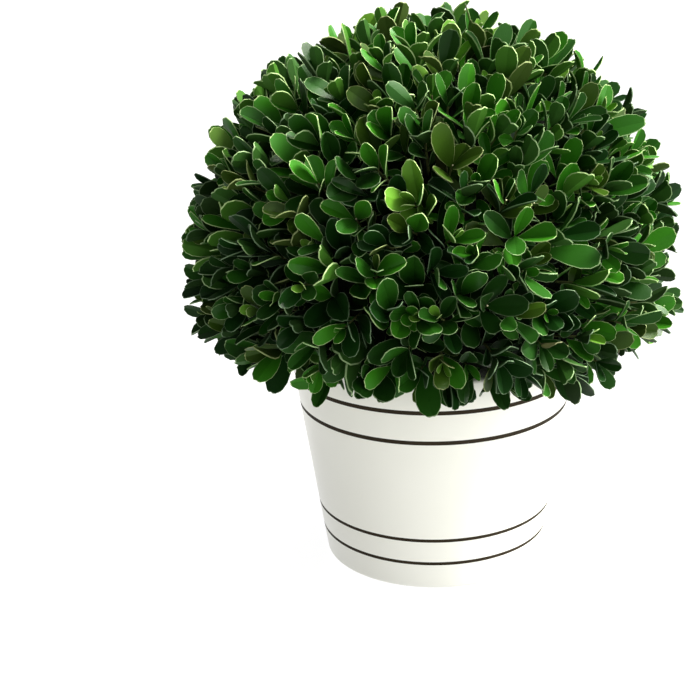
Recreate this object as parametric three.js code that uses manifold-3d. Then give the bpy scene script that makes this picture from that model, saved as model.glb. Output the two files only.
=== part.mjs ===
// Box topiary ball: a clipped ball of box foliage on a short stem, in a tapered glazed pot.
// Millimetres, +Z up. The origin is the centre of the pot's flat underside.

import * as THREE from "three";
import { mergeVertices } from "three/addons/utils/BufferGeometryUtils.js";
import Module from "manifold-3d";

const wasm = await Module();
wasm.setup();

// Driving sizes of the pot
const POT_HEIGHT = 121;
const RIM_RADIUS = 76.4;
const FOOT_RADIUS = 58.3;
const WALL = 4.5;
const FLOOR = 5;
const FOOT_ROUNDING = 2;
const FILL_BELOW_RIM = 10;

// Driving sizes of the ball: the sphere its leaf tips are clipped to, how high its centre sits,
// and how far below the centre its lowest side leaves hang
const BALL_RADIUS = 130;
const CENTRE_ABOVE_RIM = 43.9;
const SKIRT_DROP = 48;
const CORE_RADIUS = 104;

// Driving sizes of a sprig: a box leaf's length and width, and how far a twig stands out of the core
const LEAF_LENGTH = 26;
const LEAF_WIDTH = 16;
const TWIG_REACH = 13;
const SPRIG_COUNT = 118;

// Gap kept between neighbours that touch
const GAP = 0.3;
// Steps round every turned piece: the same for all, so that nested walls keep their gap
const TURNS = 40;

const CENTRE_Z = POT_HEIGHT + CENTRE_ABOVE_RIM;
const FILL_TOP = POT_HEIGHT - FILL_BELOW_RIM;

const potRadius = (z) => FOOT_RADIUS + ((RIM_RADIUS - FOOT_RADIUS) * z) / POT_HEIGHT;

// ---- Turning, joining and cutting ----

// A solid of revolution about Z from a profile of [radius, height] pairs that starts and ends on the axis.
function turned(profile) {
  const points = profile.map(([radius, height]) => new THREE.Vector2(radius, height));
  return new THREE.LatheGeometry(points, TURNS).rotateX(Math.PI / 2);
}

// Points of a quarter or other arc of a profile, both ends included, with angles from the +radius axis.
function arc(centre, radius, from, to, steps) {
  return Array.from({ length: steps + 1 }, (_, i) => {
    const angle = from + ((to - from) * i) / steps;
    return [centre[0] + radius * Math.cos(angle), centre[1] + radius * Math.sin(angle)];
  });
}

function toSolid(geometry) {
  const bare = new THREE.BufferGeometry();
  bare.setAttribute("position", geometry.getAttribute("position"));
  if (geometry.index) bare.setIndex(geometry.index);
  const merged = mergeVertices(bare, 1e-3);
  return new wasm.Manifold(
    new wasm.Mesh({
      numProp: 3,
      vertProperties: merged.attributes.position.array,
      triVerts: new Uint32Array(merged.index.array),
    }),
  );
}

function toGeometry(solid) {
  const { numProp, vertProperties, triVerts } = solid.getMesh();
  const position = new Float32Array((vertProperties.length / numProp) * 3);
  for (let i = 0; i < position.length / 3; i++)
    position.set(vertProperties.subarray(i * numProp, i * numProp + 3), i * 3);
  const geometry = new THREE.BufferGeometry();
  geometry.setAttribute("position", new THREE.BufferAttribute(position, 3));
  geometry.setIndex(new THREE.BufferAttribute(triVerts, 1));
  geometry.computeVertexNormals();
  return geometry;
}

// The largest piece of a solid, with any hollow that joining has sealed filled in.
function largestPiece(solid) {
  return solid
    .decompose()
    .filter((piece) => piece.volume() > 0)
    .sort((a, b) => b.volume() - a.volume())[0];
}

// Park and Miller's generator: the same run of numbers from 0 to 1 each time.
function seededRandom(seed) {
  let state = seed;
  return () => {
    state = (state * 48271) % 2147483647;
    return state / 2147483647;
  };
}

const random = seededRandom(20);
const spread = (middle, swing) => middle + swing * (2 * random() - 1);

// ---- Pot: a tapered ceramic wall with a rounded foot and rim ----

const RIM_ROUNDING = WALL / 2;

function potGeometry() {
  const footCentre = [potRadius(FOOT_ROUNDING) - FOOT_ROUNDING, FOOT_ROUNDING];
  const rimZ = POT_HEIGHT - RIM_ROUNDING;
  const rimCentre = [potRadius(rimZ) - RIM_ROUNDING, rimZ];
  return turned([
    [0, 0],
    ...arc(footCentre, FOOT_ROUNDING, -Math.PI / 2, 0, 3),
    ...arc(rimCentre, RIM_ROUNDING, 0, Math.PI, 4),
    [potRadius(FLOOR) - WALL, FLOOR],
    [0, FLOOR],
  ]);
}

// ---- Fill: the plug that holds the stem, a little below the rim ----

function fillGeometry() {
  const fillRadius = (z) => potRadius(z) - WALL - GAP;
  const bottom = FLOOR + GAP;
  return turned([
    [0, bottom],
    [fillRadius(bottom), bottom],
    [fillRadius(FILL_TOP), FILL_TOP],
    [0, FILL_TOP],
  ]);
}

// ---- Stem: short, flared at its foot, cut flat where it stands on the fill ----

const STEM_FOOT = FILL_TOP + GAP;
const STEM_TIP = CENTRE_Z - 12;
const STEM_RADIUS = 7;
const FLARE = 7;
const FLARE_HEIGHT = 5;
const STEM_TAPER = 0.03;

// Radius at a height: a slow taper, and a root flare that dies away upwards.
function stemRadius(z) {
  const above = z - STEM_FOOT;
  return STEM_RADIUS - STEM_TAPER * above + FLARE * Math.exp(-above / FLARE_HEIGHT);
}

// The stem's outline from a level up to its tip, or its socket's, which is larger by a gap.
const STEM_STEPS = 6;
function stemOutline(foot, gap) {
  return Array.from({ length: STEM_STEPS + 1 }, (_, i) => {
    const share = i / STEM_STEPS;
    const z = foot + (STEM_TIP - foot) * share * share;
    return [stemRadius(z) + gap, z + gap * (i === STEM_STEPS ? 1 : 0)];
  });
}

function stemGeometry() {
  return turned([[0, STEM_FOOT], ...stemOutline(STEM_FOOT, 0), [0, STEM_TIP]]);
}

// ---- Foliage ball: a core with a socket for the stem, and sprigs of box that stand out of it ----

// The core rests on the rim and slopes out and up from there to its sphere.
const CORE_BASE = POT_HEIGHT + GAP;
const CORE_BASE_RADIUS = RIM_RADIUS + 2;
const UNDERSIDE_SLOPE = 0.62;
const DOME_STEPS = 10;

// Radius and height of the edge where the sloping underside meets the sphere.
function coreEdge() {
  let radius = CORE_BASE_RADIUS;
  const fineStep = 0.05;
  const below = (r) => CENTRE_Z - CORE_BASE - (r - CORE_BASE_RADIUS) * UNDERSIDE_SLOPE;
  while (Math.hypot(radius, below(radius)) < CORE_RADIUS) radius += fineStep;
  return [radius, CENTRE_Z - below(radius)];
}

function coreSolid() {
  const [edgeRadius, edgeZ] = coreEdge();
  const edgeAngle = Math.atan2(edgeZ - CENTRE_Z, edgeRadius);
  const dome = arc([0, CENTRE_Z], CORE_RADIUS, edgeAngle, Math.PI / 2, DOME_STEPS).slice(0, -1);
  const socket = stemOutline(CORE_BASE, GAP).reverse();
  return toSolid(
    turned([
      [0, STEM_TIP + GAP],
      ...socket,
      [CORE_BASE_RADIUS, CORE_BASE],
      ...dome,
      [0, CENTRE_Z + CORE_RADIUS],
    ]),
  );
}

// How far the core reaches from the ball's centre in a direction.
function coreReach(direction) {
  const across = Math.hypot(direction.x, direction.y);
  const drop = CENTRE_Z - CORE_BASE + CORE_BASE_RADIUS * UNDERSIDE_SLOPE;
  const closing = UNDERSIDE_SLOPE * across - direction.z;
  return closing > 0 ? Math.min(CORE_RADIUS, drop / closing) : CORE_RADIUS;
}

// True where foliage may be: inside the clipped sphere, above the skirt, and clear of the pot.
const POT_CLEARANCE = 2;
function inSpace(point) {
  const radius = Math.hypot(point.x, point.y);
  const fromCentre = Math.hypot(radius, point.z - CENTRE_Z);
  const besidePot = point.z < POT_HEIGHT + POT_CLEARANCE;
  if (fromCentre > BALL_RADIUS || point.z < CENTRE_Z - SKIRT_DROP) return false;
  return !besidePot || radius > potRadius(point.z) + POT_CLEARANCE;
}

// A box leaf of eight faces, along +X from its root, upper face to +Z: an oval that is widest past
// its middle, blunt at the tip, its back raised and its tip turned down. Its root lies just past the
// middle of its twig, so it leaves the twig by one side only.
const LEAF_ROOT_SINK = 0.3;
function leafPoints(length, width) {
  const widest = 0.6 * length;
  const blunt = 0.2 * width;
  const tipDrop = -0.06 * length;
  const thickness = 0.05 * length;
  return [
    [-LEAF_ROOT_SINK, 0, 0],
    [widest, -width / 2, 0],
    [length, -blunt, tipDrop],
    [length, blunt, tipDrop],
    [widest, width / 2, 0],
    [0.55 * length, 0, thickness],
  ].map((p) => new THREE.Vector3(...p));
}
const LEAF_UPPER = [0, 1, 5, 1, 2, 5, 2, 3, 5, 3, 4, 5, 4, 0, 5];
const LEAF_LOWER = [0, 4, 1, 1, 4, 3, 1, 3, 2];

function leafSolid(points) {
  const geometry = new THREE.BufferGeometry().setFromPoints(points);
  geometry.setIndex([...LEAF_UPPER, ...LEAF_LOWER]);
  return toSolid(geometry);
}

// A three-sided twig that tapers to a point from its foot, which is sunk in the core.
const TWIG_RADIUS = 2.4;
const TWIG_SINK = 10;
function twigSolid(foot, direction, length) {
  const cone = new THREE.ConeGeometry(TWIG_RADIUS, length, 3);
  const up = new THREE.Vector3(0, 1, 0);
  cone.translate(0, length / 2, 0);
  cone.applyQuaternion(new THREE.Quaternion().setFromUnitVectors(up, direction));
  cone.translate(foot.x, foot.y, foot.z);
  return toSolid(cone);
}

// The leaves of one sprig, as [share of the twig's reach, angle out from the twig, length share]:
// two opposite pairs, each turned a quarter from the last, and one leaf at the tip.
const LEAF_PAIRS = [
  [0.12, 0.98, 1],
  [0.5, 0.56, 1],
];
const TIP_LEAF = [0.72, 0.14, 0.8];

function placedLeaf(root, direction, side, angle, length, width) {
  const along = direction.clone().multiplyScalar(Math.cos(angle)).addScaledVector(side, Math.sin(angle));
  const upper = direction.clone().multiplyScalar(Math.sin(angle)).addScaledVector(side, -Math.cos(angle));
  const across = new THREE.Vector3().crossVectors(upper, along);
  const frame = new THREE.Matrix4().makeBasis(along, across, upper).setPosition(root);
  return leafPoints(length, width).map((p) => p.applyMatrix4(frame));
}

// True if a new piece of a sprig crosses a piece of another sprig. Leaves slip past each other.
const LEAF_CLEARANCE = 0.1;
function crosses(solid, grown) {
  const box = solid.boundingBox();
  const apart = (other) =>
    [0, 1, 2].some((i) => other.box.min[i] > box.max[i] || other.box.max[i] < box.min[i]);
  return grown.some((other) => !apart(other) && solid.minGap(other.solid, 1) < LEAF_CLEARANCE);
}

// One sprig: its twig and the leaves that stay in the ball's space and clear of other sprigs.
// A leaf that doesn't fit is tried again, a little smaller and at another angle, before it is left out.
const TRIES = 6;
const STEEPEST_FALL = -0.34;
const ANGLE_SWING = 0.1;
const MORE_SWING = 0.08;
const SHRINK = 0.03;
function sprigSolids(outward, grown) {
  const reach = coreReach(outward);
  const surface = outward.clone().multiplyScalar(reach).add(new THREE.Vector3(0, 0, CENTRE_Z));
  // A low sprig turns out towards the level, as it can't grow down into the pot.
  const direction = outward.clone();
  direction.z = Math.max(direction.z, STEEPEST_FALL);
  direction.normalize();
  const foot = surface.clone().addScaledVector(direction, -TWIG_SINK);
  const tip = surface.clone().addScaledVector(direction, TWIG_REACH);
  if (!inSpace(tip)) return [];
  const solids = [twigSolid(foot, direction, TWIG_SINK + TWIG_REACH)];

  const roll = spread(0, Math.PI);
  const level = new THREE.Vector3(0, 0, 1).cross(direction);
  if (level.length() < 0.1) level.set(1, 0, 0).addScaledVector(direction, -direction.x);
  const sideAt = (turn) => level.clone().normalize().applyAxisAngle(direction, roll + turn);
  const grow = ([share, angle, size], turn) => {
    const root = surface.clone().addScaledVector(direction, share * TWIG_REACH);
    for (let attempt = 0; attempt < TRIES; attempt++) {
      const swing = ANGLE_SWING + MORE_SWING * attempt;
      const smaller = 1 - SHRINK * attempt;
      const length = size * LEAF_LENGTH * spread(smaller, 0.1);
      const width = size * LEAF_WIDTH * spread(smaller, 0.12);
      const side = sideAt(turn + spread(0, swing));
      const points = placedLeaf(root, direction, side, spread(angle, swing), length, width);
      if (!points.slice(1).every(inSpace)) continue;
      const leaf = leafSolid(points);
      if (crosses(leaf, grown)) continue;
      solids.push(leaf);
      return;
    }
  };
  LEAF_PAIRS.forEach((pair, i) => {
    grow(pair, (i * Math.PI) / 2);
    grow(pair, (i * Math.PI) / 2 + Math.PI);
  });
  grow(TIP_LEAF, Math.PI / 4);
  return solids;
}

// Sprigs stand on a golden-angle spiral from the crown down under the ball's edge.
const GOLDEN_ANGLE = Math.PI * (3 - Math.sqrt(5));
const LOWEST_COSINE = -0.56;
function sprigDirections() {
  return Array.from({ length: SPRIG_COUNT }, (_, i) => {
    const cosine = 1 - ((1 - LOWEST_COSINE) * (i + 0.5)) / SPRIG_COUNT;
    const sine = Math.sqrt(1 - cosine * cosine);
    const turn = i * GOLDEN_ANGLE + spread(0, 0.05);
    return new THREE.Vector3(sine * Math.cos(turn), sine * Math.sin(turn), cosine);
  });
}

function ballGeometry() {
  const grown = [];
  for (const direction of sprigDirections()) {
    const solids = sprigSolids(direction, grown);
    grown.push(...solids.map((solid) => ({ solid, box: solid.boundingBox() })));
  }
  const sprigs = grown.map((piece) => piece.solid);
  return toGeometry(largestPiece(wasm.Manifold.union([coreSolid(), ...sprigs])));
}

// ---- The whole plant ----

function named(name, geometry, colour, roughness) {
  const material = new THREE.MeshStandardMaterial({ color: colour, roughness, metalness: 0 });
  const mesh = new THREE.Mesh(geometry, material);
  mesh.name = name;
  return mesh;
}

const topiary = new THREE.Group();
topiary.add(
  named("pot", potGeometry(), 0xf0efe9, 0.25),
  named("potting_fill", fillGeometry(), 0x3d3226, 0.95),
  named("stem", stemGeometry(), 0x6b5a42, 0.85),
  named("foliage_ball", ballGeometry(), 0x1f4a1c, 0.5),
);

export default topiary;
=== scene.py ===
# Box topiary ball: a clipped ball of box on a short stem, in a tapered glazed pot with four thin
# painted lines. Metres, +Z up. The origin is the centre of the pot's flat underside.

import math
from collections import namedtuple

import bmesh
import bpy
import numpy as np
from mathutils import Matrix, Quaternion, Vector, noise
from mathutils.bvhtree import BVHTree


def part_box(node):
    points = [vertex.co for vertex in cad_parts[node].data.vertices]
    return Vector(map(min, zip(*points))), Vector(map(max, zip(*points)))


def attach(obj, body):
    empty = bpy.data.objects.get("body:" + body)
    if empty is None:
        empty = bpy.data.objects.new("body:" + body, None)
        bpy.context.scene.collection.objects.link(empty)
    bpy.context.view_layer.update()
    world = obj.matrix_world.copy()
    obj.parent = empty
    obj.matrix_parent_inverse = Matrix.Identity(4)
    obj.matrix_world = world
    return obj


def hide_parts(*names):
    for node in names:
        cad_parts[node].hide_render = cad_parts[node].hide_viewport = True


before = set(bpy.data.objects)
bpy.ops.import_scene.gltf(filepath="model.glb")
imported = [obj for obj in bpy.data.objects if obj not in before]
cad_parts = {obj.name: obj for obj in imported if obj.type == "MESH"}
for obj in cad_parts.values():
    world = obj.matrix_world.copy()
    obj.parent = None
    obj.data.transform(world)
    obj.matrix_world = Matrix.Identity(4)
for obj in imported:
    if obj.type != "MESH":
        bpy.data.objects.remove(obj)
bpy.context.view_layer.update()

# ---- Camera: stands just in front of a table and looks down on the plant ----
# The plant stands a little to the right of the middle of the view, and the camera is held a little askew.

CAMERA_PLACE = Vector((0.0, -0.8041, 0.3913))
LOOK_DOWN = math.radians(19.18)
LOOK_LEFT = math.radians(3.12)
ROLL = math.radians(-1.55)
SENSOR_WIDTH = 36.0
LENS = 82.46

camera_data = bpy.data.cameras.new("camera")
camera_data.lens = LENS
camera_data.sensor_width = SENSOR_WIDTH
camera = bpy.data.objects.new("camera", camera_data)
camera.location = CAMERA_PLACE
look = Vector(
    (
        -math.sin(LOOK_LEFT) * math.cos(LOOK_DOWN),
        math.cos(LOOK_LEFT) * math.cos(LOOK_DOWN),
        -math.sin(LOOK_DOWN),
    )
)
camera.rotation_euler = (look.to_track_quat("-Z", "Y") @ Quaternion((0, 0, 1), ROLL)).to_euler()
bpy.context.scene.collection.objects.link(camera)
bpy.context.scene.camera = camera

# ---- Room: a lit white table before white paper, with a bright wall and a window to the right ----
# The table and the paper run far back, so that no edge of either shows.


def linear(code):
    """An sRGB hex colour as linear red, green, blue and alpha."""
    shares = [int(code[i : i + 2], 16) / 255 for i in (0, 2, 4)]
    return [c / 12.92 if c <= 0.04045 else ((c + 0.055) / 1.055) ** 2.4 for c in shares] + [1.0]


def material(name, code, roughness, **sockets):
    """A new material whose shader has this colour, this roughness and these other socket values."""
    made = bpy.data.materials.new(name)
    made.use_nodes = True
    shader = made.node_tree.nodes["Principled BSDF"]
    shader.inputs["Base Color"].default_value = linear(code)
    shader.inputs["Roughness"].default_value = roughness
    for socket, value in sockets.items():
        shader.inputs[socket.replace("_", " ")].default_value = value
    return made


def add(made, kind, links=(), **settings):
    """A new node of a material or a world, with links of (from_node, output, to_socket) and settings."""
    node = made.node_tree.nodes.new(kind)
    for name, value in settings.items():
        socket = node.inputs.get(name.replace("_", " "))
        if socket is not None:
            socket.default_value = value
        else:
            setattr(node, name, value)
    for source, output, target in links:
        made.node_tree.links.new(source.outputs[output], node.inputs[target])
    return node


def feed(made, node, output, socket):
    """Links a node's output to a socket of the material's shader."""
    shader = made.node_tree.nodes["Principled BSDF"]
    made.node_tree.links.new(node.outputs[output], shader.inputs[socket])


def new_object(name, mesh, *materials):
    """A new object in the scene that holds this mesh and these materials."""
    made = bpy.data.objects.new(name, mesh)
    bpy.context.scene.collection.objects.link(made)
    for each in materials:
        mesh.materials.append(each)
    return made


TABLE_HALF = 12.0
table_mesh = bpy.data.meshes.new("table")
table_shape = bmesh.new()
bmesh.ops.create_grid(table_shape, x_segments=2, y_segments=2, size=TABLE_HALF)
table_shape.to_mesh(table_mesh)
table_shape.free()
# Opal acrylic with lamps under it, so that no shadow shows on it.
table_top = material("lit opal acrylic", "484848", 0.6, Emission_Strength=0.96)
table_top.node_tree.nodes["Principled BSDF"].inputs["Emission Color"].default_value = linear("FFFFFF")
table = new_object("table", table_mesh, table_top)

# A paper backdrop stands all round near the table's edge. It is seen, but light passes through it.
BACKDROP_RADIUS = 11.0
BACKDROP_HEIGHT = 5.0
BACKDROP_STEPS = 96
paper_mesh = bpy.data.meshes.new("backdrop")
paper_shape = bmesh.new()
bmesh.ops.create_cone(
    paper_shape,
    segments=BACKDROP_STEPS,
    radius1=BACKDROP_RADIUS,
    radius2=BACKDROP_RADIUS,
    depth=BACKDROP_HEIGHT,
)
bmesh.ops.translate(paper_shape, verts=paper_shape.verts, vec=(0, 0, BACKDROP_HEIGHT / 2))
paper_shape.to_mesh(paper_mesh)
paper_shape.free()
paper = material("white backdrop paper", "808080", 0.9, Emission_Strength=1.1)
paper.node_tree.nodes["Principled BSDF"].inputs["Emission Color"].default_value = linear("FFFFFF")
backdrop = new_object("backdrop", paper_mesh, paper)
backdrop.visible_diffuse = False
backdrop.visible_glossy = False
backdrop.visible_shadow = False

# The room is bright to the right, dim above and dark to the left.
LIGHT_FROM_RIGHT = 3.9
LIGHT_FROM_ABOVE = 0.36
sky = bpy.data.worlds.new("pale room")
sky.use_nodes = True
background = sky.node_tree.nodes["Background"]
background.inputs["Color"].default_value = linear("FDFDFB")
way = add(sky, "ShaderNodeTexCoord")
lit_way = add(sky, "ShaderNodeVectorMath", [(way, "Generated", 0)], operation="MAXIMUM")
lit_way.inputs[1].default_value = (0, 0, 0)
brightness = add(sky, "ShaderNodeVectorMath", [(lit_way, "Vector", 0)], operation="DOT_PRODUCT")
brightness.inputs[1].default_value = (LIGHT_FROM_RIGHT, 0, LIGHT_FROM_ABOVE)
sky.node_tree.links.new(brightness.outputs["Value"], background.inputs["Strength"])
bpy.context.scene.world = sky

# A large, high window stands to the right and a little behind. Its softness is how wide it looks.
SUN_SIDE = math.radians(102)
SUN_HEIGHT = math.radians(50)
SUN_STRENGTH = 12.0
SUN_SOFTNESS = math.radians(28)
window = bpy.data.lights.new("window", "SUN")
window.energy = SUN_STRENGTH
window.angle = SUN_SOFTNESS
window.color = linear("FFFCF4")[:3]
window_lamp = bpy.data.objects.new("window", window)
to_window = Vector(
    (
        math.sin(SUN_SIDE) * math.cos(SUN_HEIGHT),
        -math.cos(SUN_SIDE) * math.cos(SUN_HEIGHT),
        math.sin(SUN_HEIGHT),
    )
)
window_lamp.rotation_euler = (-to_window).to_track_quat("-Z", "Y").to_euler()
bpy.context.scene.collection.objects.link(window_lamp)

bpy.context.scene.view_settings.view_transform = "Standard"

# ---- Pot: slip-cast white earthenware, dipped in an off-white gloss glaze ----
# Thin dark lines are painted round it by hand on a wheel, and its foot ring is wiped clean of glaze
# so that it doesn't stick to the kiln shelf.

pot_low, pot_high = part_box("pot")
POT_HEIGHT = pot_high.z - pot_low.z
RIM_RADIUS = 0.0764
FOOT_RADIUS = 0.0583
WALL = 0.0045
FLOOR = 0.005
FOOT_ROUNDING = 0.002
FOOT_RING_WIDTH = 0.005
FOOT_RING_DEPTH = 0.0015
# Height and width of each painted line
PAINTED_LINES = ((0.0154, 0.0019), (0.0293, 0.0019), (0.0867, 0.0023), (0.1036, 0.0023))
POT_STEPS = 160
FOOT_STEPS = 8
LIP_STEPS = 10
INSIDE_STEPS = 6
# Points nearer to each other than this are one, and faces lower than this stand on the table
MERGE_DISTANCE = 1e-6
STANDING_HEIGHT = 1e-5
GLAZED, PAINTED, BARE = 0, 1, 2
# Sockets of a Mix node that mixes colours
COLOUR_A, COLOUR_B, COLOUR_OUT = 6, 7, 2


def pot_radius(z):
    """The pot's outer radius at a height."""
    return FOOT_RADIUS + (RIM_RADIUS - FOOT_RADIUS) * z / POT_HEIGHT


def arc(middle, radius, start, end, steps):
    """Points of an arc of a profile, as (radius, height), both ends included."""
    angles = [start + (end - start) * i / steps for i in range(steps + 1)]
    return [(middle[0] + radius * math.cos(a), middle[1] + radius * math.sin(a)) for a in angles]


def turned(profile, steps):
    """A bmesh made by spinning a profile of (radius, height) points about Z."""
    shape = bmesh.new()
    verts = [shape.verts.new((radius, 0, height)) for radius, height in profile]
    edges = [shape.edges.new(pair) for pair in zip(verts, verts[1:])]
    bmesh.ops.spin(
        shape,
        geom=verts + edges,
        cent=(0, 0, 0),
        axis=(0, 0, 1),
        angle=2 * math.pi,
        steps=steps,
        use_merge=True,
    )
    bmesh.ops.remove_doubles(shape, verts=shape.verts, dist=MERGE_DISTANCE)
    bmesh.ops.recalc_face_normals(shape, faces=shape.faces)
    return shape


def finished_mesh(name, shape, sharp_angle=40):
    """Turns a bmesh into a smooth-shaded mesh with sharp edges past an angle, and frees it."""
    mesh = bpy.data.meshes.new(name)
    shape.to_mesh(mesh)
    shape.free()
    mesh.shade_smooth()
    mesh.set_sharp_from_angle(angle=math.radians(sharp_angle))
    return mesh


# Glaze: a glassy coat over white clay, slightly wavy and clouded, as a dipped surface is.
glaze = material("off-white gloss glaze", "ECECE2", 0.3, IOR=1.5, Coat_Weight=0.12, Coat_Roughness=0.1)
place = add(glaze, "ShaderNodeTexCoord")
dip = add(glaze, "ShaderNodeTexNoise", [(place, "Object", "Vector")], Scale=55.0, Detail=2.0)
swell = add(glaze, "ShaderNodeBump", [(dip, "Fac", "Height")], Strength=0.12, Distance=0.0006)
feed(glaze, swell, "Normal", "Normal")
cloud = add(glaze, "ShaderNodeTexNoise", [(place, "Object", "Vector")], Scale=18.0, Detail=3.0)
cream = add(glaze, "ShaderNodeMix", [(cloud, "Fac", "Factor")], data_type="RGBA")
cream.inputs[COLOUR_A].default_value = linear("EEEEE5")
cream.inputs[COLOUR_B].default_value = linear("E6E6DB")
feed(glaze, cream, COLOUR_OUT, "Base Color")

# Painted lines: iron-brown underglaze, a little uneven where the brush ran thin.
line_paint = material("dark brown underglaze", "2C251A", 0.6, IOR=1.45, Specular_IOR_Level=0.08)
place = add(line_paint, "ShaderNodeTexCoord")
brush = add(line_paint, "ShaderNodeTexNoise", [(place, "Object", "Vector")], Scale=90.0, Detail=3.0)
thin = add(line_paint, "ShaderNodeMix", [(brush, "Fac", "Factor")], data_type="RGBA")
thin.inputs[COLOUR_A].default_value = linear("231D13")
thin.inputs[COLOUR_B].default_value = linear("352D20")
feed(line_paint, thin, COLOUR_OUT, "Base Color")

# Bare clay: dry and slightly gritty on the foot ring.
bare_clay = material("unglazed earthenware", "DDD5C5", 0.85)
place = add(bare_clay, "ShaderNodeTexCoord")
grit = add(bare_clay, "ShaderNodeTexNoise", [(place, "Object", "Vector")], Scale=900.0, Detail=4.0)
rough = add(bare_clay, "ShaderNodeBump", [(grit, "Fac", "Height")], Strength=0.4, Distance=0.0003)
feed(bare_clay, rough, "Normal", "Normal")

flat_radius = pot_radius(FOOT_ROUNDING) - FOOT_ROUNDING
ring_inside = flat_radius - FOOT_RING_WIDTH
rim_height = POT_HEIGHT - WALL / 2
line_edges = [z + side * width / 2 for z, width in PAINTED_LINES for side in (-1, 1)]
pot_shape = turned(
    [
        (0, FOOT_RING_DEPTH),
        (ring_inside - FOOT_RING_DEPTH, FOOT_RING_DEPTH),
        (ring_inside, 0),
        *arc((flat_radius, FOOT_ROUNDING), FOOT_ROUNDING, -math.pi / 2, 0, FOOT_STEPS),
        *[(pot_radius(z), z) for z in line_edges],
        *arc((pot_radius(rim_height) - WALL / 2, rim_height), WALL / 2, 0, math.pi, LIP_STEPS),
        (pot_radius(FLOOR + WALL) - WALL, FLOOR + WALL),
        *arc((pot_radius(FLOOR) - 2 * WALL, FLOOR + WALL), WALL, 0, -math.pi / 2, INSIDE_STEPS)[1:],
        (0, FLOOR),
    ],
    POT_STEPS,
)
for face in pot_shape.faces:
    middle = face.calc_center_median()
    outside = middle.xy.length > pot_radius(middle.z) - WALL / 2
    on_line = any(abs(middle.z - z) < width / 2 for z, width in PAINTED_LINES)
    on_foot = middle.z < STANDING_HEIGHT and middle.xy.length > ring_inside - FOOT_RING_DEPTH
    face.material_index = PAINTED if on_line and outside else BARE if on_foot else GLAZED
pot = new_object("glazed_pot", finished_mesh("glazed_pot", pot_shape), glaze, line_paint, bare_clay)
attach(pot, "root")
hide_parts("pot")

# ---- Fill: a plug of coconut fibre and dry moss that the stem is set in ----
# It is pressed down a little below the rim, and its top is uneven.

fill_low, fill_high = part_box("potting_fill")
FILL_GAP = 0.0003
FILL_RINGS = 14
FILL_UNEVEN = 0.0025
FILL_LUMPS = 90
FILL_STEPS = 64

# Coconut fibre: matt brown strands, dark where they are packed.
coir = material("coconut fibre", "4A3A28", 0.95)
place = add(coir, "ShaderNodeTexCoord")
fibre = add(coir, "ShaderNodeTexNoise", [(place, "Object", "Vector")], Scale=260.0, Detail=6.0)
fibre.inputs["Distortion"].default_value = 1.2
tones = add(coir, "ShaderNodeMix", [(fibre, "Fac", "Factor")], data_type="RGBA")
tones.inputs[COLOUR_A].default_value = linear("2A2117")
tones.inputs[COLOUR_B].default_value = linear("6E5A3E")
feed(coir, tones, COLOUR_OUT, "Base Color")
strands = add(coir, "ShaderNodeBump", [(fibre, "Fac", "Height")], Strength=0.9, Distance=0.0015)
feed(coir, strands, "Normal", "Normal")

fill_radius = pot_radius(fill_high.z) - WALL - FILL_GAP
fill_floor_radius = pot_radius(fill_low.z + WALL) - WALL - FILL_GAP
top_rings = [fill_radius * (1 - i / FILL_RINGS) for i in range(FILL_RINGS)]
fill_shape = turned(
    [
        (0, fill_low.z),
        (fill_floor_radius - WALL, fill_low.z),
        (fill_floor_radius, fill_low.z + WALL),
        *[(radius, fill_high.z) for radius in top_rings],
        (0, fill_high.z),
    ],
    FILL_STEPS,
)
for vert in fill_shape.verts:
    if vert.co.z > fill_high.z - FILL_GAP and vert.co.xy.length < fill_radius - FILL_GAP:
        vert.co.z -= FILL_UNEVEN * (0.5 + 0.5 * noise.noise(vert.co * FILL_LUMPS))
fill = new_object("coir_fill", finished_mesh("coir_fill", fill_shape), coir)
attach(fill, "root")
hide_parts("potting_fill")

# ---- Stem: the short woody stem of the box, flared where it meets the fill ----
# Its bark is grey-brown and fissured along the grain, in low plates.

stem_low, stem_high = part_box("stem")
STEM_RADIUS = 0.007
FLARE = 0.007
FLARE_HEIGHT = 0.005
STEM_TAPER = 0.03
STEM_RINGS = 44
STEM_STEPS = 72
BARK_DEPTH = 0.0009
BARK_PLATES = Vector((400, 400, 90))
ROUGH_SHARP_ANGLE = 60

# Bark: matt grey-brown, mottled along the grain.
bark = material("box bark", "7A6A52", 0.9)
place = add(bark, "ShaderNodeTexCoord")
grain = add(bark, "ShaderNodeMapping", [(place, "Object", "Vector")], Scale=(420.0, 420.0, 90.0))
plates = add(bark, "ShaderNodeTexVoronoi", [(grain, "Vector", "Vector")], Scale=1.0)
tones = add(bark, "ShaderNodeMix", [(plates, "Distance", "Factor")], data_type="RGBA")
tones.inputs[COLOUR_A].default_value = linear("4B3E2E")
tones.inputs[COLOUR_B].default_value = linear("94846A")
feed(bark, tones, COLOUR_OUT, "Base Color")
fissures = add(bark, "ShaderNodeBump", [(plates, "Distance", "Height")], Strength=0.8, Distance=0.001)
feed(bark, fissures, "Normal", "Normal")


def stem_radius(z):
    """The stem's radius at a height: a slow taper, and a root flare that dies away upwards."""
    above = z - stem_low.z
    return STEM_RADIUS - STEM_TAPER * above + FLARE * math.exp(-above / FLARE_HEIGHT)


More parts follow.
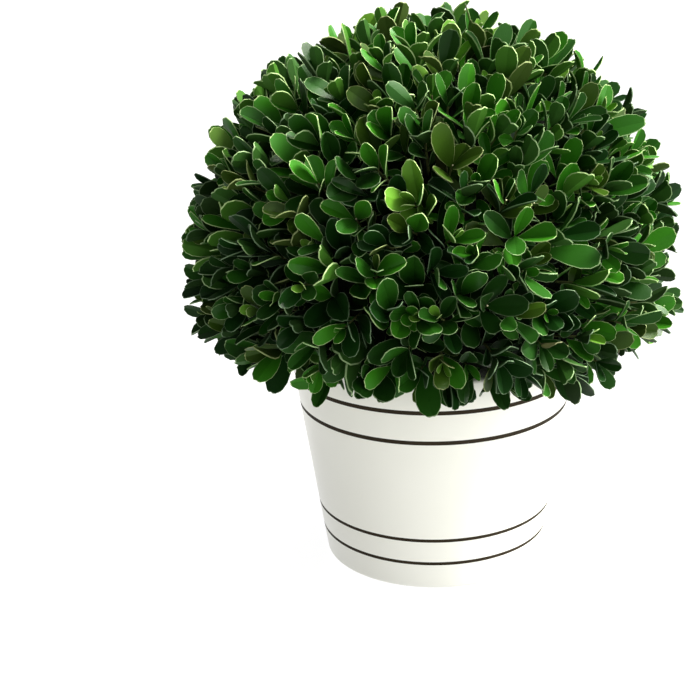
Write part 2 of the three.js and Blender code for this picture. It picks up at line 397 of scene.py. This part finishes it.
stem_heights = [stem_low.z + (stem_high.z - stem_low.z) * i / STEM_RINGS for i in range(STEM_RINGS + 1)]
stem_shape = turned(
    [(0, stem_low.z), *[(stem_radius(z), z) for z in stem_heights], (0, stem_high.z)], STEM_STEPS
)
for vert in stem_shape.verts:
    if stem_low.z < vert.co.z < stem_high.z:
        ridge = abs(noise.noise(vert.co * BARK_PLATES))
        vert.co.xy *= 1 - BARK_DEPTH * ridge / vert.co.xy.length
stem = new_object("barked_stem", finished_mesh("barked_stem", stem_shape, ROUGH_SHARP_ANGLE), bark)
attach(stem, "root")
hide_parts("stem")

# ---- Heart of the ball: the dense, shaded tangle of old twigs behind the leaves ----
# Hardly any light reaches it, and its colour is painted near-black shade, which shows between the leaves.

CENTRE_ABOVE_RIM = 0.0422
CENTRE = Vector((0, 0, POT_HEIGHT + CENTRE_ABOVE_RIM))
HEART_RADIUS = 0.093
HEART_LIFT = 0.0005
HEART_INSET = 0.001
HEART_BASE = POT_HEIGHT + HEART_LIFT
HEART_BASE_RADIUS = RIM_RADIUS - HEART_INSET
UNDERSIDE_SLOPE = 0.62
SOCKET_GAP = 0.0004
HEART_UNEVEN = 0.0022
HEART_LUMPS = 130
HEART_KNOTS = 320
HEART_RINGS = 40
HEART_STEPS = 128

# Shaded twigs: painted near-black as shade, and matt, with the lumps of a dense tangle.
heart_painted_shade = material("twigs painted near-black as shade", "0C100A", 0.95, Specular_IOR_Level=0.1)
place = add(heart_painted_shade, "ShaderNodeTexCoord")
tangle = add(heart_painted_shade, "ShaderNodeTexNoise", [(place, "Object", "Vector")], Scale=240.0, Detail=5.0)
tones = add(heart_painted_shade, "ShaderNodeMix", [(tangle, "Fac", "Factor")], data_type="RGBA")
tones.inputs[COLOUR_A].default_value = linear("070A06")
tones.inputs[COLOUR_B].default_value = linear("151B10")
feed(heart_painted_shade, tones, COLOUR_OUT, "Base Color")
knots = add(heart_painted_shade, "ShaderNodeBump", [(tangle, "Fac", "Height")], Strength=1.0, Distance=0.002)
feed(heart_painted_shade, knots, "Normal", "Normal")


def heart_reach(direction):
    """How far the heart reaches from the ball's centre: a sphere, cut by the slope of its underside."""
    drop = CENTRE.z - HEART_BASE + HEART_BASE_RADIUS * UNDERSIDE_SLOPE
    closing = UNDERSIDE_SLOPE * direction.xy.length - direction.z
    return min(HEART_RADIUS, drop / closing) if closing > 0 else HEART_RADIUS


edge_angle = math.atan2(HEART_BASE - CENTRE.z, HEART_BASE_RADIUS)
heart_outline = []
for i in range(HEART_RINGS):
    angle = edge_angle + (math.pi / 2 - edge_angle) * i / HEART_RINGS
    reach = heart_reach(Vector((math.cos(angle), 0, math.sin(angle))))
    heart_outline.append((reach * math.cos(angle), CENTRE.z + reach * math.sin(angle)))
socket = [(stem_radius(z) + SOCKET_GAP, z) for z in reversed(stem_heights) if z > HEART_BASE]
heart_shape = turned(
    [
        (0, stem_high.z + SOCKET_GAP),
        (socket[0][0], stem_high.z + SOCKET_GAP),
        *socket[1:],
        (stem_radius(HEART_BASE) + SOCKET_GAP, HEART_BASE),
        *heart_outline,
        (0, CENTRE.z + HEART_RADIUS),
    ],
    HEART_STEPS,
)
for vert in heart_shape.verts:
    outward = vert.co - CENTRE
    if outward.length > HEART_BASE_RADIUS and vert.co.z > HEART_BASE + SOCKET_GAP:
        lift = noise.noise(vert.co * HEART_LUMPS) + 0.5 * noise.noise(vert.co * HEART_KNOTS)
        vert.co += outward.normalized() * HEART_UNEVEN * lift
heart_mesh = finished_mesh("twiggy_heart", heart_shape, ROUGH_SHARP_ANGLE)
heart = new_object("twiggy_heart", heart_mesh, heart_painted_shade)
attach(heart, "root")
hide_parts("foliage_ball")

# ---- Leaf forms: box leaves are leathery, blunt, and widest past their middle ----
# Each has a thin blade, folded along its midrib, with a pale edge and a slightly notched tip. Some
# are cupped and some reflexed, so 16 forms are made here and used all over the ball.

LEAF_FORMS = 16
# Middle and swing of what differs from form to form, where a leaf is 1 long
BREADTH = (0.45, 0.09)
SHOULDER = (1.15, 0.3)
FOLD = (0.10, 0.16)
CUP = (0.04, 0.1)
ARCH = (-0.04, 0.14)
TWIST = (0, 0.35)
TIP_CURVE = 0.5
CUP_CURVE = 1.6
# Places of the rows of points along a leaf, and of its columns of points from edge to edge
LEAF_ROWS = (0.0, 0.1, 0.3, 0.52, 0.72, 0.87, 0.975, 1.0)
LEAF_COLUMNS = (-1.0, -0.955, 0.0, 0.955, 1.0)
COARSE_COLUMNS = (-1.0, 0.0, 1.0)
LEAF_THICKNESS = 0.02
PETIOLE_HALF = 0.045
TIP_HALF = 0.2
NOTCH = 0.015
UPPER, UNDER, EDGE = 0, 1, 2

# Start of the run of drawn numbers
state = 51


def draw():
    """The next of a fixed run of numbers from 0 to 1, by Park and Miller's generator."""
    global state
    state = (state * 48271) % 2147483647
    return state / 2147483647


def spread(middle, swing):
    """A number drawn evenly from within a swing of a middle."""
    return middle + swing * (2 * draw() - 1)


def leaf_form():
    """A leaf 1 long along +X, upper face to +Z: points, faces, materials and a coarse leaf's points."""
    broad = spread(*BREADTH)
    shoulder = spread(*SHOULDER)
    fold = spread(*FOLD)
    cup = spread(*CUP)
    arch = spread(*ARCH)
    twist = spread(*TWIST)
    peak = shoulder / (shoulder + TIP_CURVE)
    most = peak**shoulder * (1 - peak) ** TIP_CURVE

    shape = bmesh.new()
    bmesh.ops.create_grid(
        shape, x_segments=len(LEAF_ROWS) - 1, y_segments=len(LEAF_COLUMNS) - 1, size=0.5
    )
    inner = []
    coarse = [[] for _ in LEAF_ROWS]
    for vert in sorted(shape.verts, key=lambda each: each.co.y):
        row = round((vert.co.x + 0.5) * (len(LEAF_ROWS) - 1))
        column = round((vert.co.y + 0.5) * (len(LEAF_COLUMNS) - 1))
        along, across = LEAF_ROWS[row], LEAF_COLUMNS[column]
        half = along**shoulder * (1 - along) ** TIP_CURVE / most
        half = max(half, PETIOLE_HALF, TIP_HALF if row == len(LEAF_ROWS) - 1 else 0)
        y = 0.5 * broad * half * across
        x = along - NOTCH * (1 - abs(across)) * (row == len(LEAF_ROWS) - 1)
        z = cup * half * abs(across) ** CUP_CURVE + fold * abs(y) + arch * along**2 + twist * y * along
        vert.co = (x, y, z)
        if 0 < row < len(LEAF_ROWS) - 1 and abs(across) < 1:
            inner.append(vert)
        if across in COARSE_COLUMNS:
            coarse[row].append((x, y, z))
    for face in shape.faces:
        outer = sum(vert not in inner for vert in face.verts)
        if outer >= 2 and face.calc_center_median().x > LEAF_ROWS[1]:
            face.material_index = EDGE
    under = bmesh.ops.duplicate(shape, geom=shape.verts[:] + shape.edges[:] + shape.faces[:])
    for vert in inner:
        under["vert_map"][vert].co.z -= LEAF_THICKNESS
    under_faces = [part for part in under["geom"] if isinstance(part, bmesh.types.BMFace)]
    bmesh.ops.reverse_faces(shape, faces=under_faces)
    for face in under_faces:
        if face.material_index == UPPER:
            face.material_index = UNDER
    bmesh.ops.remove_doubles(shape, verts=shape.verts, dist=MERGE_DISTANCE)
    shape.verts.index_update()
    points = np.array([vert.co[:] for vert in shape.verts])
    faces = np.array([[vert.index for vert in face.verts] for face in shape.faces])
    kinds = np.array([face.material_index for face in shape.faces])
    shape.free()
    return points, faces, kinds, np.array(coarse[1:]).reshape(-1, 3)


leaf_forms = [leaf_form() for _ in range(LEAF_FORMS)]
COARSE_FACES = [
    (3 * row + side, 3 * row + side + 1, 3 * row + side + 4, 3 * row + side + 3)
    for row in range(len(LEAF_ROWS) - 2)
    for side in (0, 1)
]

# ---- Leaf colours: seven greens, from old dark growth to fresh yellow-green ----
# Each is the satin green of a waxy, leathery leaf, with a duller underside and a pale edge. Fresh
# growth gets the most light, so it is commoner at the crown. The shares are also painted light
# and shade: paler greens dealt at the crown and darker ones low down make the top read lighter.

TINTS = (
    # The crown's larger shares of paler greens are painted light, and the darker greens low down painted
    # shade.
    # name, upper face, underside, edge, share of the sprigs low down, share at the crown
    ("deep_green", "14350A", "213A14", "687E5A", 0.28, 0.05),
    ("bottle_green", "10300B", "1F3815", "61785A", 0.21, 0.03),
    ("box_green", "1C470D", "2A4F1A", "809A6A", 0.29, 0.31),
    ("fresh_green", "2C6812", "3A671D", "A2BE7E", 0.13, 0.46),
    ("lime_green", "527F24", "587C31", "AAC57E", 0.0, 0.06),
    ("olive_green", "2D470E", "374B1A", "818E5C", 0.08, 0.10),
    ("browned_green", "2A2C10", "34361C", "6C6E4E", 0.008, 0.01),
)
FRESH, LIME = 3, 4
UPPER_ROUGHNESS = 0.38
UNDER_ROUGHNESS = 0.6
EDGE_ROUGHNESS = 0.5


def leaf_material(name, code, roughness):
    """A leaf face: one even colour, waxy, with a fine leathery grain about 1 mm across."""
    made = material(name, code, roughness, IOR=1.45, Specular_IOR_Level=0.15)
    spot = add(made, "ShaderNodeTexCoord")
    pores = add(made, "ShaderNodeTexNoise", [(spot, "Object", "Vector")], Scale=900.0, Detail=2.0)
    skin = add(made, "ShaderNodeBump", [(pores, "Fac", "Height")], Strength=0.25, Distance=0.0002)
    feed(made, skin, "Normal", "Normal")
    return made


def dealt_tint(height):
    """A tint drawn by the shares at a height, 0 at the skirt to 1 at the crown; paler up top is painted
    light.
    """
    shares = [low + (high - low) * height for *_, low, high in TINTS]
    pick = draw() * sum(shares)
    for number, share in enumerate(shares):
        pick -= share
        if pick < 0:
            return number
    return len(TINTS) - 1


# ---- Sprigs: short four-sided twigs that end in pairs of leaves ----
# They stand all over the ball on a golden-angle spiral, and a row of them all round its skirt. Each
# pair of leaves is turned a quarter from the one below it, and the ball is clipped, so every sprig
# ends near the same sphere. Outer pairs grow first, and a leaf turns aside from those in its way.

BALL_RADIUS = 0.1332
SKIRT_DROP = 0.0494
SPRIG_COUNT = 490
SPIRAL_JITTER = 0.05
# Cosines are of the angle from straight up
LOWEST_COSINE = -0.44
SKIRT_SPRIGS = 88
SKIRT_COSINE = (-0.43, 0.03)
SKIRT_FALL = (-0.42, 0.14)
SKIRT_JITTER = 0.25
SKIRT_SWERVE = 0.3
GOLDEN_ANGLE = math.pi * (3 - math.sqrt(5))
LEAN = 0.45
UPWARD = 0.32
STEEPEST_FALL = -0.3
NEARLY_UPRIGHT = 0.1
FURTHEST_END = 0.034
END_STEP = 0.0015
PAIRS = 6
PAIR_SPACING = 0.0052
TIP_ANGLE = 0.35
ANGLE_STEP = 0.16
LEAF_LENGTH = 0.0252
LENGTH_SWING = 0.13
TIP_LEAF_SHARE = 0.84
FULL_SIZE_PAIR = 2
SIZE_SWING = 0.2
OPENING_SWING = 0.2
# How much a leaf's turn about its twig, its lean outwards and its roll may differ, in radians
LEAF_TURN = 0.45
LEAF_LEAN = 0.35
LEAF_ROLL = 0.9
# Share of that at the first try, what each further try adds, and how much shorter the leaf then is
FIRST_FREEDOM = 0.5
MORE_FREEDOM = 0.1
SHORTER = 0.03
TRIES = 14
POT_CLEARANCE = 0.0015
DEEPEST_RECESS = 0.016
RECESS_CURVE = 1.5
STRAY_SHARE = 0.35
BUD_SHARE = 0.3
BUD_LENGTH = 0.011
BUD_STEM = 0.003
BUD_ANGLE = 0.2
LIME_BUD_SHARE = 0.4
SNIPPED_SHARE = 0.2
SNIPPED_STEM = 0.0025
TWIG_SIDES = 4
TWIG_RADIUS = 0.0009
TWIG_END_SHARE = 0.55
TWIG_SINK = 0.006


def way_out(turn, cosine):
    """The direction with this turn about the stem and this cosine from straight up."""
    sine = math.sqrt(1 - cosine * cosine)
    return Vector((sine * math.cos(turn), sine * math.sin(turn), cosine))


def sprig_starts():
    """Where each sprig leaves the ball's centre, and the way it then grows."""
    for i in range(SKIRT_SPRIGS):
        turn = 2 * math.pi * (i + spread(0, SKIRT_JITTER)) / SKIRT_SPRIGS
        outward = way_out(turn, spread(*SKIRT_COSINE))
        yield outward, way_out(turn + spread(0, SKIRT_SWERVE), spread(*SKIRT_FALL))
    for i in range(SPRIG_COUNT):
        cosine = 1 - (1 - LOWEST_COSINE) * (i + 0.5) / SPRIG_COUNT
        outward = way_out(i * GOLDEN_ANGLE + spread(0, SPIRAL_JITTER), cosine)
        direction = outward + Vector((spread(0, LEAN), spread(0, LEAN), spread(UPWARD, LEAN)))
        direction.z = max(direction.z, STEEPEST_FALL)
        yield outward, direction.normalized()


def leaf_matrix(root, direction, turn, angle, roll, length):
    """Places a leaf form at its root on a twig, turned about the twig, leaning out and rolled."""
    level = Vector((0, 0, 1)).cross(direction)
    if level.length <= NEARLY_UPRIGHT:
        level = direction.orthogonal()
    side = Quaternion(direction, turn) @ level.normalized()
    along = direction * math.cos(angle) + side * math.sin(angle)
    upper = direction * math.sin(angle) - side * math.cos(angle)
    placed = Matrix((along, upper.cross(along), upper)).transposed().to_4x4()
    return Matrix.Translation(root) @ placed @ Matrix.Rotation(roll, 4, "X") @ Matrix.Scale(length, 4)


def moved(points, matrix):
    """Points, one to a row, moved by a matrix."""
    turn = np.array(matrix)
    return points @ turn[:3, :3].T + turn[:3, 3]


def in_space(points, recess):
    """True where a leaf may be: inside the clipped sphere, above the skirt and clear of the pot."""
    reach = np.linalg.norm(points - np.array(CENTRE), axis=1).max()
    if reach > BALL_RADIUS - recess or points[:, 2].min() < CENTRE.z - SKIRT_DROP:
        return False
    low = points[points[:, 2] < POT_HEIGHT + POT_CLEARANCE]
    return bool((np.hypot(low[:, 0], low[:, 1]) > pot_radius(low[:, 2]) + POT_CLEARANCE).all())


# A twig 1 long and 1 in radius, along +Z, which tapers
twig_shape = bmesh.new()
bmesh.ops.create_cone(
    twig_shape,
    cap_ends=True,
    cap_tris=False,
    segments=TWIG_SIDES,
    radius1=1.0,
    radius2=TWIG_END_SHARE,
    depth=1.0,
)
bmesh.ops.translate(twig_shape, verts=twig_shape.verts, vec=(0, 0, 0.5))
twig_shape.verts.index_update()
twig_points = np.array([vert.co[:] for vert in twig_shape.verts])
twig_faces = np.array([[vert.index for vert in face.verts] for face in twig_shape.faces])
twig_shape.free()
twig_kinds = np.zeros(len(twig_faces), int)
# Only the end face, which shows cut wood on a snipped twig, is wholly in the outer half.
snipped_kinds = (twig_points[twig_faces][:, :, 2].min(axis=1) > 0.5).astype(int)


def twig_matrix(foot, end):
    """Places the unit twig from its foot to its end."""
    run = end - foot
    turn = run.to_track_quat("Z", "X").to_matrix().to_4x4()
    return Matrix.Translation(foot) @ turn @ Matrix.Diagonal((TWIG_RADIUS, TWIG_RADIUS, run.length, 1))


grown_middles = np.zeros((0, 3))
grown_trees = []


def keep(points, tree):
    """Notes the space that a new leaf or twig takes up."""
    global grown_middles
    grown_middles = np.vstack((grown_middles, points.mean(axis=0)))
    grown_trees.append(tree)


def grown_leaf(twig, root, direction, turn, angle, length, recess):
    """A leaf that is in space and passes through nothing but its own twig, as (form, matrix), or None."""
    for attempt in range(TRIES):
        freedom = FIRST_FREEDOM + MORE_FREEDOM * attempt
        form = int(draw() * LEAF_FORMS)
        matrix = leaf_matrix(
            root,
            direction,
            turn + spread(0, LEAF_TURN * freedom),
            angle + spread(0, LEAF_LEAN * freedom),
            spread(0, LEAF_ROLL * freedom),
            length * spread(1.0, LENGTH_SWING) * (1 - SHORTER * attempt),
        )
        points = moved(leaf_forms[form][3], matrix)
        if not in_space(points, recess):
            continue
        tree = BVHTree.FromPolygons(points.tolist(), COARSE_FACES)
        near = np.nonzero(np.abs(grown_middles - points.mean(axis=0)).max(axis=1) < LEAF_LENGTH)[0]
        if not any(tree.overlap(grown_trees[other]) for other in near if other != twig):
            keep(points, tree)
            return form, matrix
    return None


def sprig_end(surface, direction, turn, length, recess):
    """The furthest end of a sprig at which its last pair of leaves is in space, or None."""
    for step in range(int(FURTHEST_END / END_STEP)):
        end = surface + direction * (FURTHEST_END - END_STEP * step)
        pair = [leaf_matrix(end, direction, turn + side, TIP_ANGLE, 0, length) for side in (0, math.pi)]
        if all(in_space(moved(leaf_forms[0][3], matrix), recess) for matrix in pair):
            return end
    return None


Sprig = namedtuple("Sprig", "foot end direction turn size opened recess tint height")
sprigs = []
for outward, direction in sprig_starts():
    surface = CENTRE + outward * heart_reach(outward)
    foot = surface - outward * TWIG_SINK
    turn = spread(0, math.pi)
    size = spread(1.0, SIZE_SWING)
    opened = spread(0, OPENING_SWING)
    recess = DEEPEST_RECESS * draw() ** RECESS_CURVE
    height = max(0.0, outward.z)
    tint = dealt_tint(height)
    end = sprig_end(surface, direction, turn, LEAF_LENGTH * TIP_LEAF_SHARE * size, recess)
    if end is not None:
        sprigs.append(Sprig(foot, end, direction, turn, size, opened, recess, tint, height))

# Each sprig's twig ends in its last leaves, in a bud or in a stub that the shears left.
twig_places = []
buds = []
for number, sprig in enumerate(sprigs):
    budding = draw() < BUD_SHARE
    snipped = not budding and draw() < SNIPPED_SHARE
    end = sprig.end + sprig.direction * (BUD_STEM if budding else SNIPPED_STEM if snipped else 0)
    if budding:
        buds.append((number, end, BUD_LENGTH * sprig.size * spread(1.0, SIZE_SWING)))
    matrix = twig_matrix(sprig.foot, end)
    twig_places.append((matrix, snipped))
    points = moved(twig_points, matrix)
    keep(points, BVHTree.FromPolygons(points.tolist(), twig_faces.tolist()))

leaves_by_tint = [[] for _ in TINTS]
for number, root, length in buds:
    direction, turn = sprigs[number].direction, sprigs[number].turn + math.pi / 2
    tint = LIME if draw() < LIME_BUD_SHARE else FRESH
    for side in (0, math.pi):
        leaf = grown_leaf(number, root, direction, turn + side, BUD_ANGLE, length, 0)
        if leaf:
            leaves_by_tint[tint].append(leaf)
for pair in range(PAIRS):
    share = TIP_LEAF_SHARE + (1 - TIP_LEAF_SHARE) * min(1, pair / FULL_SIZE_PAIR)
    for number, sprig in enumerate(sprigs):
        root = sprig.end - sprig.direction * (PAIR_SPACING * sprig.size * pair)
        angle = TIP_ANGLE + ANGLE_STEP * pair + sprig.opened
        length = LEAF_LENGTH * sprig.size * share
        for side in (0, math.pi):
            turn = sprig.turn + pair * math.pi / 2 + side
            leaf = grown_leaf(number, root, sprig.direction, turn, angle, length, sprig.recess)
            tint = dealt_tint(sprig.height) if draw() < STRAY_SHARE else sprig.tint
            if leaf:
                leaves_by_tint[tint].append(leaf)

# ---- Leaves: stiff and leathery, each on a short stalk that grows straight from its twig ----
# All the leaves of one green are one piece, and only creases past this angle are crisp.

CREASE_ANGLE = 15


def joined_copies(name, copies, *materials):
    """One mesh of many placed copies, each given as its points, faces, material numbers and matrix."""
    points, faces, kinds, count = [], [], [], 0
    for own_points, own_faces, own_kinds, matrix in copies:
        points.append(moved(own_points, matrix))
        faces.append(own_faces + count)
        kinds.append(own_kinds)
        count += len(own_points)
    points, faces, kinds = (np.concatenate(part) for part in (points, faces, kinds))
    mesh = bpy.data.meshes.new(name)
    mesh.vertices.add(len(points))
    mesh.vertices.foreach_set("co", points.ravel())
    mesh.loops.add(faces.size)
    mesh.loops.foreach_set("vertex_index", faces.ravel())
    mesh.polygons.add(len(faces))
    mesh.polygons.foreach_set("loop_start", np.arange(len(faces)) * faces.shape[1])
    mesh.polygons.foreach_set("material_index", kinds)
    mesh.update(calc_edges=True)
    mesh.shade_smooth()
    mesh.set_sharp_from_angle(angle=math.radians(CREASE_ANGLE))
    return new_object(name, mesh, *materials)


for (name, upper, under, edge, *_), placed in zip(TINTS, leaves_by_tint):
    copies = [(*leaf_forms[form][:3], matrix) for form, matrix in placed]
    leaves = joined_copies(
        name + "_leaves",
        copies,
        leaf_material(name + " leaf", upper, UPPER_ROUGHNESS),
        leaf_material(name + " underside", under, UNDER_ROUGHNESS),
        leaf_material(name + " leaf edge", edge, EDGE_ROUGHNESS),
    )
    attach(leaves, "root")
    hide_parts("foliage_ball")

# ---- Twigs: young box wood is four-sided, and green that turns brown ----
# Each sprig's twig runs from the heart of the ball to its last leaves, its bud or its cut end.

# Young wood: dull olive green, and slightly rough.
young_wood = material("young box wood", "5C6234", 0.75)
place = add(young_wood, "ShaderNodeTexCoord")
streak = add(young_wood, "ShaderNodeTexNoise", [(place, "Object", "Vector")], Scale=400.0, Detail=3.0)
ridges = add(young_wood, "ShaderNodeBump", [(streak, "Fac", "Height")], Strength=0.5, Distance=0.0003)
feed(young_wood, ridges, "Normal", "Normal")

# Cut wood: the pale ends that the shears left.
cut_wood = material("cut box wood", "CFCBA4", 0.8)

twig_copies = [
    (twig_points, twig_faces, snipped_kinds if snipped else twig_kinds, matrix)
    for matrix, snipped in twig_places
]
twigs = joined_copies("sprig_twigs", twig_copies, young_wood, cut_wood)
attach(twigs, "root")
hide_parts("foliage_ball")
